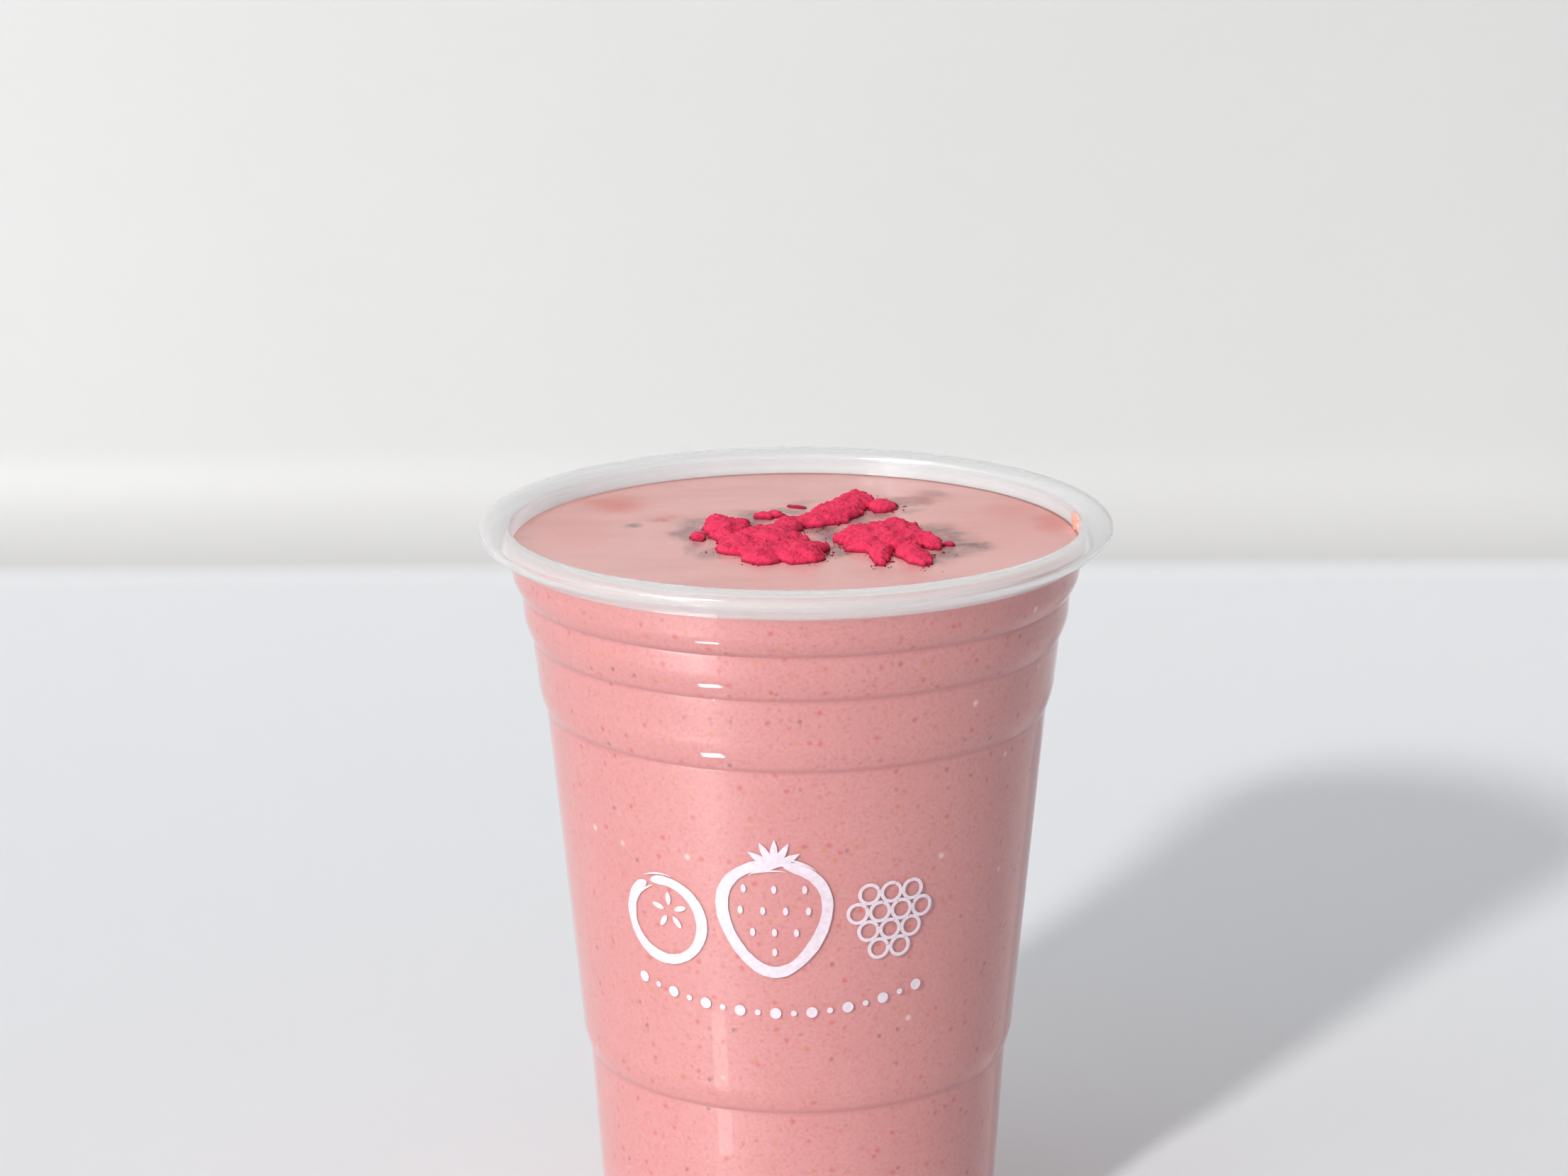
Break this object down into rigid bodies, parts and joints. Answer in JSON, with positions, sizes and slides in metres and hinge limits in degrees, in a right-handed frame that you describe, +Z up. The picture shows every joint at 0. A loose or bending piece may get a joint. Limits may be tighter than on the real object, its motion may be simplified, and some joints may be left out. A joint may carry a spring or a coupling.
{
  "type": "berry smoothie in a clear plastic cup",
  "caption": "Pink berry smoothie filled nearly to the rim of a clear stepped plastic cup with a curled rim, with heaps of dark pink berry powder on top.",
  "frame": {"origin": "centre of the cup's foot, on the surface that it stands on", "axes": "+Z up along the cup's axis, -Y towards the viewer of the picture, +X to the viewer's right"},
  "size_m": [0.095, 0.095, 0.118],
  "materials": {
    "cup": "clear thermoformed polypropylene",
    "smoothie": "thick blended fruit drink, slightly glossy",
    "powder": "dry matte fruit powder"
  },
  "bodies": {
    "root": {"cup": "cup", "smoothie": "smoothie", "powder_left": "powder", "powder_right": "powder"}
  },
  "joints": []
}
